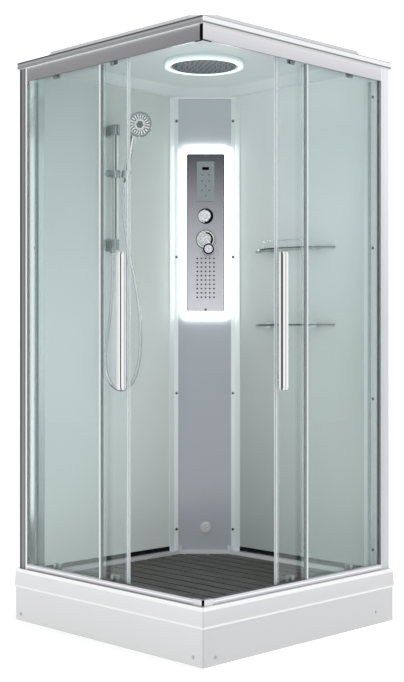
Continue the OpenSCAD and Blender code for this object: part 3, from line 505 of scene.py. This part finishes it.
# back walls: lit and shaded copies of one painted glass, with painted light and shade that change with
# height, and painted shade that deepens towards the back corner
WALL_SHADE = [(0.0, 1.0), (1.0, 0.86)]
M["wall_left"] = graded(
    "wall_glass_left_painted_light", by_height(*WALL_Z), [(0.0, (248, 254, 252)), (1.0, (224, 230, 227))],
    over=(by_axis("X", *WALL_RUN), WALL_SHADE), **PAINTED)
M["wall_right"] = graded(
    "wall_glass_right_painted_light", by_height(*WALL_Z),
    [(0.0, (190, 197, 195)), (0.45, (200, 206, 204)), (1.0, (246, 253, 252))],
    over=(by_axis("Y", *WALL_RUN), WALL_SHADE), **PAINTED)
M["profile"] = plain("white_profile", (236, 241, 242), 0.3, coat=0.3, bump=0.05)
M["profile_left"] = graded(
    "white_profile_left", by_axis("X", *PROFILE_RUN),
    [(0.0, (232, 240, 240)), (0.6, (228, 236, 236)), (0.72, (176, 188, 186)),
     (0.85, (226, 235, 234)), (1.0, (226, 235, 234))], 0.2, 0.9)
# the foot trims' dark colour is partly their dark polish and partly a painted reflection of the dark floor
# boards
M["trim"] = plain("dark_trim", (52, 54, 58), 0.15, 0.8, bump=0.05)
M["screw"] = plain("screw_steel", (120, 122, 126), 0.25, 1.0, bump=0.1, scale=200)
M["screw_pale"] = plain("screw_pale", (186, 187, 190), 0.3, 0.6, bump=0.1, scale=200)
# centre panel: painted light and shade by height, darkest a third of the way up and lightest at the top
M["panel"] = graded(
    "centre_panel", by_height(*WALL_Z),
    [(0.0, (186, 190, 197)), (0.35, (172, 176, 183)), (0.6, (176, 181, 187)), (1.0, (200, 205, 211))],
    0.16, coat=0.3, bump=0.02, scale=3)

# fittings and column
M["chrome"] = plain("chrome", (226, 228, 230), 0.08, 1.0, bump=0.02)
M["bracket"] = plain("bracket_chrome", (172, 180, 180), 0.15, 1.0, bump=0.02)
# painted shade on the riser rail's faces that look left and on the clamp knob's underside
M["bracket_shaded"] = plain("bracket_shaded_side", (124, 134, 132), 0.3, 0.3, bump=0.02)
# riser bar: painted reflections as a black line and a white line down the chrome
M["bar"] = graded(
    "bar_chrome", by_way(SIDE, *BAR_RUN),
    [(0.0, (120, 128, 128)), (0.12, (190, 198, 197)), (0.41, (196, 203, 202)), (0.45, (6, 6, 8)),
     (0.64, (6, 6, 8)), (0.68, WHITE), (0.92, WHITE), (0.96, (150, 158, 158)),
     (1.0, (130, 138, 138))], 0.2, 0.3)
M["rain"] = plain("rain_steel", (80, 84, 88), 0.32, 0.9, bump=0.1, scale=120)
# column plate: painted reflection from light at the bottom to dark at the top, and painted dark lines along
# both side edges
M["column"] = graded(
    "column_steel", by_height(*PLATE_Z),
    [(0.0, (234, 233, 238)), (0.45, (194, 195, 199)), (1.0, (96, 98, 102))],
    0.3, 0.85, bump=0.25, scale=60, stretch=(30, 30, 0.4), vary=0.2,
    over=(by_way(SIDE, COLUMN_X - COLUMN_HALF, COLUMN_X + COLUMN_HALF),
          [(0.0, 0.6), (0.025, 0.6), (0.04, 1), (0.96, 1), (0.975, 0.6), (1.0, 0.6)]))
M["jets"] = plain("jet_rubber", (16, 16, 18), 0.6, bump=0.1, mirror=0.1)
M["unit"] = plain("unit_plastic", (148, 155, 159), 0.3, 0.1, 0.2, bump=0.03)
# painted highlight on the unit's sides and top, and painted shade on its underside
M["unit_lit_edge"] = plain("unit_lit_edge", (196, 202, 205), 0.3, 0.1, 0.3, bump=0.03)
M["unit_shaded_underside"] = plain("unit_shaded_underside", (62, 66, 70), 0.4, bump=0.03)
M["display"] = plain("display_window", (4, 4, 5), 0.5, bump=0.01, mirror=0.0)
M["key"] = plain("key_plastic", (104, 111, 115), 0.35, 0, 0.1, bump=0.02)
M["brass"] = plain("valve_brass", (206, 172, 100), 0.3, 1.0, vary=0.16, scale=30)
M["hose"] = plain("hose_skin", (214, 218, 220), 0.2, 0.85, 0.3, bump=0.02)
M["wheel"] = plain("roller_plastic", (220, 220, 218), 0.4, bump=0.05)
M["carrier"] = plain("carrier_plastic", (150, 156, 156), 0.3, coat=0.3, bump=0.05)
M["foot_jet"] = plain("foot_jet_chrome", (236, 238, 240), 0.25, 0.5, bump=0.02)
curve.materials.append(M["hose"])

# Lamps: the halo fades to its edge and the ring fades outward; the ring's skirt glows with the lamp, and
# its fade upward is a painted glow
HALO_HALF = (0.103, 0.3595)
HALO_Z = 1.4840
HALO_R = 0.025


def halo_edge(nt):
    """0 at the plate, 1 at the halo's rounded outer edge."""
    a = op(nt, "SUBTRACT", vector_op(nt, "DOT_PRODUCT", place(nt), SIDE), COLUMN_X)
    c = op(nt, "SUBTRACT", axis_of(nt, "Z"), HALO_Z)
    parts = []
    for v, half in zip((a, c), HALO_HALF):
        over = op(nt, "MAXIMUM", op(nt, "SUBTRACT", op(nt, "ABSOLUTE", v), half - HALO_R), 0.0)
        parts.append(op(nt, "MULTIPLY", over, over))
    return share(nt, op(nt, "SQRT", op(nt, "ADD", *parts)), 0, HALO_R)


RING_BASE = (205, 216, 215)
RING_GLOW = (236, 255, 253)
M["lit"] = lamp_cover("lit_plastic", (250, 255, 253), (236, 242, 241), halo_edge,
                      [(0.0, 4.5), (0.5, 4.5), (0.8, 1.6), (1.0, 0.75)])
M["lit_side"] = lamp_cover("lit_side", (246, 255, 252), (236, 242, 241), by_height(0, 2),
                           [(0, 5), (1, 5)])
M["lit_ring"] = lamp_cover("lit_ring", RING_GLOW, RING_BASE, by_radius(Vector(), UP, *RING_R),
                           [(0.0, 1.5), (0.4, 0.9), (1.0, 0.4)])
M["ring_skirt_painted_glow"] = lamp_cover("ring_skirt_painted_glow", RING_GLOW, RING_BASE, by_height(*RING_Z),
                             [(0.0, 0.75), (0.3, 0.45), (0.7, 0.12), (1.0, 0.04)])

# Chrome with painted reflections: the studio shows in it as fixed painted lines and rings, and the dials'
# dark bands also hold painted shade
handle_lo, handle_hi = box["door_handle_left"]
mid = (handle_lo[1] + handle_hi[1]) / 2
M["handle_left"] = graded(
    "handle_front_left", by_axis("Y", mid + HANDLE_HALF, mid - HANDLE_HALF),
    [(0.0, (214, 217, 218)), (0.36, (222, 225, 226)), (0.4, WHITE), (0.57, WHITE),
     (0.61, (66, 68, 70)), (0.78, (66, 68, 70)), (0.82, WHITE), (1.0, (250, 250, 250))], 0.2, 0.15)
M["handle_side_left"] = graded(
    "handle_side_left", by_axis("X", handle_lo[0], handle_lo[0] + HANDLE_T),
    [(0.0, (250, 250, 250)), (0.4, (250, 250, 250)), (0.5, (150, 154, 156)), (0.66, (160, 164, 166)),
     (0.74, WHITE), (1.0, (250, 250, 250))], 0.2, 0.15)
handle_lo, handle_hi = box["door_handle_right"]
mid = (handle_lo[0] + handle_hi[0]) / 2
M["handle_right"] = graded(
    "handle_front_right", by_axis("X", mid - HANDLE_HALF, mid + HANDLE_HALF),
    [(0.0, (84, 88, 90)), (0.14, (84, 88, 90)), (0.2, (252, 252, 252)), (0.44, (250, 250, 250)),
     (0.5, (200, 203, 205)), (0.66, (200, 203, 205)), (0.72, WHITE), (0.92, (252, 252, 252)),
     (1.0, (220, 222, 224))], 0.2, 0.15)
M["handle_side_right"] = graded(
    "handle_side_right", by_axis("Y", handle_lo[1], handle_lo[1] + HANDLE_T),
    [(0.0, (84, 88, 90)), (0.38, (84, 88, 90)), (0.46, WHITE), (1.0, WHITE)], 0.2, 0.15)
M["knob"] = dial("knob_chrome", KNOB, RIGHTWARD,
                 [(0.0205, 0.0245, 0.62, (40, 41, 43)), (0.024, 0.0285, 0.3, (24, 25, 27)),
                  (0.028, 0.04, 0.12, (34, 35, 38)), (0.0302, 0.04, -1, (44, 45, 48))])
M["cap"] = dial("cap_chrome", MIXER, RIGHTWARD,
                [(0.0225, 0.0308, 0.64, (14, 14, 16)), (0.0366, 0.05, -1, (84, 87, 90))],
                face=(210, 217, 216))
M["lever"] = dial("lever_chrome", LEVER, LOWER_RIGHT, [(0.0166, 0.0226, -1, (20, 20, 22))], spots=0.5)

# Hand shower: a grey middle, a pale ring with spokes and jets, a grey rim, and painted reflection lines
# down the grip.
# HEAD is the middle of its head. FACE is the way the jets point: up first, then turned by the
# head's tilt and turn on the handle and by the holder's tilt, as in the construction.
HEAD = HOLDER + Vector((0, -0.07205, 0.1876))
FACE = Vector((0, 0, 1))
for turn in ((math.radians(92), 0, 0), (0, 0, math.radians(-21)), (HOLDER_TILT, 0, 0)):
    FACE.rotate(Euler(turn))
M["face"] = graded(
    "shower_face", by_radius(HEAD, FACE, 0, 0.05),
    [(0.0, (110, 118, 116)), (0.24, (122, 130, 128)), (0.3, (236, 242, 240)), (0.44, (200, 207, 206)),
     (0.52, (250, 254, 253)), (0.78, (240, 246, 245)), (0.84, (150, 157, 157)), (1.0, (134, 141, 141))],
    0.3, 0.1, 0.3, bump=0.03,
    over=(by_spokes(HEAD, FACE, SPOKES, *SPOKE_R), [(0.0, 0.16), (0.35, 0.3), (0.6, 1), (1.0, 1)]))
ACROSS = (SIDE - SIDE.dot(handle_up) * handle_up).normalized()
grip = ACROSS.dot(HOLDER)
# the grip's black and white lines are painted reflections
M["handle"] = graded(
    "shower_handle", by_way(ACROSS, grip - GRIP_R, grip + GRIP_R),
    [(0.0, (190, 198, 198)), (0.26, (220, 226, 226)), (0.34, (12, 12, 14)), (0.56, (12, 12, 14)),
     (0.62, WHITE), (0.78, WHITE), (0.86, (150, 158, 158)), (1.0, (200, 207, 207))], 0.2, 0.3)

# Dark boards: long grain along the boards and slight waves across
m, nt, b = new_mat("dark_boards")
put(b, Roughness=0.45)
grain = noise(nt, 9, (6, 1.2, 6), 6.0)
BOARD = [(0.3, lin((50, 46, 43))), (0.55, lin((72, 68, 64))), (0.75, lin((100, 95, 90)))]
nt.links.new(ramp(nt, grain, BOARD), b.inputs["Base Color"])
roughen(nt, b, 0.5, 14, (8, 1, 1))
M["boards"] = m

# Which material each node wears
USE = {
    "tray": "acrylic", "front_aprons": "acrylic", "support_frame": "steel", "waste_trap": "waste",
    "floor_grid": "boards", "bottom_rail_left": "rail", "bottom_rail_right": "rail",
    "top_rail_left": "fascia", "top_rail_right": "fascia", "corner_connectors": "black",
    "post_left": "post_left", "post_right": "post_right", "fixed_glass_left": "glass",
    "fixed_glass_right": "glass", "fixed_glass_seals": "edge_strip", "wall_panel_left": "wall_left",
    "wall_panel_right": "wall_right", "wall_profiles": "profile", "wall_foot_trims": "trim",
    "screw_caps": "screw", "centre_panel": "panel", "roof_shell": "acrylic", "rain_feed": "chrome",
    "rain_head": "rain", "light_strips": "lit", "column_plate": "column", "body_jets": "jets",
    "control_unit": "unit", "mixer_body": "brass", "flow_knob": "knob", "mixer_cap": "cap",
    "mixer_lever": "lever", "foot_jet": "foot_jet", "riser_rail": "bracket", "riser_slider": "bracket",
    "clamp_knob": "bracket", "hand_shower": "chrome", "shower_hose": "hose", "shelf_glasses": "glass",
    "shelf_fittings": "chrome"}
for i in range(1, 9):
    USE["key_%d" % i] = "key"
for side in SIDES:
    USE["door_glass_" + side] = "glass"
    USE["door_seals_" + side] = "seal_clear"
    USE["door_handle_" + side] = "chrome"
    USE["door_carriers_" + side] = "carrier"
    USE["wheel_%s_front" % side] = "wheel"
    USE["wheel_%s_back" % side] = "wheel"
for name, o in NODE.items():
    o.data.materials.clear()
    o.data.materials.append(M[USE[name]])


def paint(node, key, inside):
    """Gives another material to the faces whose centre and normal pass a test."""
    me = NODE[node].data
    me.materials.append(M[key])
    k = len(me.materials) - 1
    for p in me.polygons:
        c = sum((me.vertices[v].co for v in p.vertices), Vector()) / len(p.vertices)
        if inside(c, p.normal):
            p.material_index = k


def outward(side):
    """A test for faces that look out of one front."""
    k = 0 if side == "left" else 1
    return lambda c, n: n[k] < -0.7


# Painted faces and the limits that part them, in metres; a face's normal tells which way it looks
RIM_FRONT = -0.49
APRON_FRONT = -0.494
RIM_TOP = 2.075
MIDDLE_Z = 1
BLOCK_BACK = -0.4785
BLOCK_FOOT = RIM_Z + 0.0012
RAIL_END = -0.4845
FRONT_PROFILE = -0.4
STRIP = (0.014, 0.024)
STRIP_EDGE = 0.0185
STRIP_BACK = -0.4737
RING_FROM = 1.95
DISPLAY_Z = (1.738, 1.7525)
DISPLAY_HALF = 0.0145
DISPLAY_BACK = 0.4865
CEILING_Z = 2.107
CEILING_HALF = 0.48
RAIN_FACE_Z = 2.0549
HEAD_REACH = 0.052
GRIP_FROM = HOLDER.z - 0.03
FACE_D = (0.0145, 0.0152)
JET_D = (0.0152, 0.018)
BAR_REACH = 0.0122
LOW_CAPS_Z = 0.1
# each front gets painted light and shade tones on the tray skirt, apron and roof rim, and painted
# reflections on the posts' sides and the handles
for side in SIDES:
    out = outward(side)
    out_of_other = outward(OTHER[side])
    paint("tray", "skirt_painted_light_" + side, lambda c, n: out(c, n) and min(c.x, c.y) < RIM_FRONT)
    paint("front_aprons", "apron_painted_light_" + side, lambda c, n: out(c, n) and min(c.x, c.y) < APRON_FRONT)
    paint("roof_shell", "rim_" + side,
          lambda c, n: c.z < RIM_TOP and out(c, n) and min(c.x, c.y) < RIM_FRONT)
    paint("post_" + side, "post_side_" + side, out_of_other)
    paint("door_seals_" + side, "door_profile_" + side, out)
    paint("door_handle_" + side, "handle_" + side, out)
    paint("door_handle_" + side, "handle_side_" + side, out_of_other)
paint("corner_connectors", "alu",
      lambda c, n: c.z < MIDDLE_Z and not (max(c.x, c.y) < BLOCK_BACK and c.z > BLOCK_FOOT))
paint("top_rail_right", "black", lambda c, n: n.x < -0.9 and c.x < RAIL_END)
paint("wall_profiles", "profile_left", lambda c, n: n.y < -0.7 and c.x < FRONT_PROFILE)
paint("fixed_glass_seals", "seal_clear",
      lambda c, n: STRIP[0] < max(c.x, c.y) < STRIP[1] and (n.y if c.x < c.y else n.x) < -0.5)
paint("fixed_glass_seals", "seal_clear",
      lambda c, n: STRIP[0] < max(c.x, c.y) < STRIP_EDGE and min(c.x, c.y) > STRIP_BACK)
paint("light_strips", "lit_ring", lambda c, n: c.z > RING_FROM)
# the ring's skirt: a painted glow, strongest at its lower edge
paint("light_strips", "ring_skirt_painted_glow", lambda c, n: c.z > RING_FROM and abs(n.z) < 0.5)
paint("light_strips", "lit_side", lambda c, n: c.z < RING_FROM and n.dot(DIAG) > -0.5)
# painted highlight on the unit's sides and top, and painted shade on its underside
paint("control_unit", "unit_lit_edge", lambda c, n: abs(n.dot(SIDE)) > 0.3 or n.z > 0.3)
paint("control_unit", "unit_shaded_underside", lambda c, n: n.z < -0.3)
paint("control_unit", "display",
      lambda c, n: (DISPLAY_Z[0] < c.z < DISPLAY_Z[1] and c.dot(DIAG) < DISPLAY_BACK
                    and abs(c.dot(SIDE) - COLUMN_X) < DISPLAY_HALF))
paint("roof_shell", "ceiling",
      lambda c, n: c.z < CEILING_Z and max(abs(c.x), abs(c.y)) < CEILING_HALF and n.z < 0.3)
paint("rain_head", "jets", lambda c, n: c.z < RAIN_FACE_Z)
# the grip gets the painted reflection lines
paint("hand_shower", "handle", lambda c, n: (c - HEAD).length > HEAD_REACH and c.z > GRIP_FROM)
paint("hand_shower", "face", lambda c, n: FACE_D[0] < (c - HEAD).dot(FACE) < FACE_D[1])
paint("hand_shower", "jets", lambda c, n: JET_D[0] < (c - HEAD).dot(FACE) < JET_D[1])
# painted shade on the faces that look left
paint("riser_rail", "bracket_shaded", lambda c, n: n.x < -0.7)
# the bar's sides get the painted reflection lines
paint("riser_rail", "bar",
      lambda c, n: abs(n.z) < 0.5 and math.hypot(c.x - BAR.x, c.y - BAR.y) < BAR_REACH)
# painted shade on the clamp knob's underside
paint("clamp_knob", "bracket_shaded", lambda c, n: n.z < -0.5)
paint("shelf_glasses", "glass_edge", lambda c, n: abs(n.z) < 0.5)
paint("screw_caps", "screw_pale", lambda c, n: c.z < LOW_CAPS_Z)

# Studio: floor and backdrop in one sweep, a light world and soft lamps
m, nt, b = new_mat("studio_white")
put(b, Base_Color=(0.9, 0.9, 0.9, 1), Roughness=0.9, Emission_Color=(1, 1, 1, 1), Emission_Strength=0.4)
SWEEP_R = 1.5
FLOOR = (-9, 14)
FLOOR_HALF = 12
BACK_Z = 9
arc = [math.radians(d) for d in range(10, 91, 10)]
outline = [(FLOOR[0], 0), (FLOOR[1], 0)]
outline += [(FLOOR[1] + SWEEP_R * math.sin(a), SWEEP_R * (1 - math.cos(a))) for a in arc]
outline += [(FLOOR[1] + SWEEP_R, BACK_Z)]
verts = [tuple(DIAG * d + SIDE * w + UP * z) for d, z in outline
         for w in (-FLOOR_HALF, FLOOR_HALF)]
faces = [(2 * i, 2 * i + 1, 2 * i + 3, 2 * i + 2) for i in range(len(outline) - 1)]
me = bpy.data.meshes.new("studio")
me.from_pydata(verts, [], faces)
me.materials.append(m)
for p in me.polygons:
    p.use_smooth = True
studio = bpy.data.objects.new("studio", me)
scene.collection.objects.link(studio)

# A light world all round, with a dark flag on the left and two slim ones near the camera. Each
# stop has an angle, from behind on the left over the camera (0) to behind on the right, and a
# brightness.
LIGHTS = [(-180, 0.92), (-138, 0.92), (-130, 0.1), (-100.5, 0.1), (-99.5, 0.5), (-92.5, 0.5),
          (-91.5, 0.1), (-60, 0.1), (-54, 0.98), (-18, 0.98), (-15, 0.3), (-12, 0.3), (-9, 1.02),
          (22, 1.02), (25, 0.08), (36, 0.08), (40, 0.75), (66, 0.75), (74, 0.95), (180, 0.92)]
FLOOR_GLOW = (1.08, 1.08, 1.09, 1)
GLOW_HEIGHT = 0.22
GLOW_STARTS = (1.46, 1.54)
GLOW_ENDS = (1.78, 1.74)
world = bpy.data.worlds.new("world")
scene.world = world
world.use_nodes = True
nt = world.node_tree
sky = nt.nodes.new("ShaderNodeTexCoord").outputs["Generated"]
to_side = vector_op(nt, "DOT_PRODUCT", sky, SIDE)
to_camera = vector_op(nt, "DOT_PRODUCT", sky, -DIAG)
turn = op(nt, "ARCTAN2", to_side, to_camera)
stops = [((a + 180) / 360, (v, v, v * 1.01, 1)) for a, v in LIGHTS]
ways = ramp(nt, share(nt, turn, -math.pi, math.pi), stops)
# near the horizon both sides are as bright as the floor, so that the panes show no edge there
height = vector_op(nt, "DOT_PRODUCT", sky, UP)
aside = op(nt, "ABSOLUTE", turn)
low = op(nt, "MULTIPLY", share(nt, height, GLOW_HEIGHT, 0.0), share(nt, aside, *GLOW_STARTS))
low = op(nt, "MULTIPLY", low, share(nt, aside, *GLOW_ENDS))
nt.links.new(colour_mix(nt, low, ways, FLOOR_GLOW), nt.nodes["Background"].inputs["Color"])


def lamp(name, spot, target, size, power):
    """A soft lamp that no mirror shows."""
    d = bpy.data.lights.new(name, "AREA")
    d.shape = "RECTANGLE"
    d.size, d.size_y = size
    d.energy = power
    o = bpy.data.objects.new(name, d)
    o.location = spot
    o.rotation_euler = (Vector(target) - Vector(spot)).to_track_quat("-Z", "Y").to_euler()
    o.visible_camera = False
    o.visible_glossy = False
    scene.collection.objects.link(o)


lamp("key", (-4.6, -0.9, 3.4), (0, 0, 0.6), (1.6, 1.6), 40)
lamp("fill", (-0.05, -0.42, 0.95), (-0.05, 0.46, 0.95), (0.8, 1.5), 1)
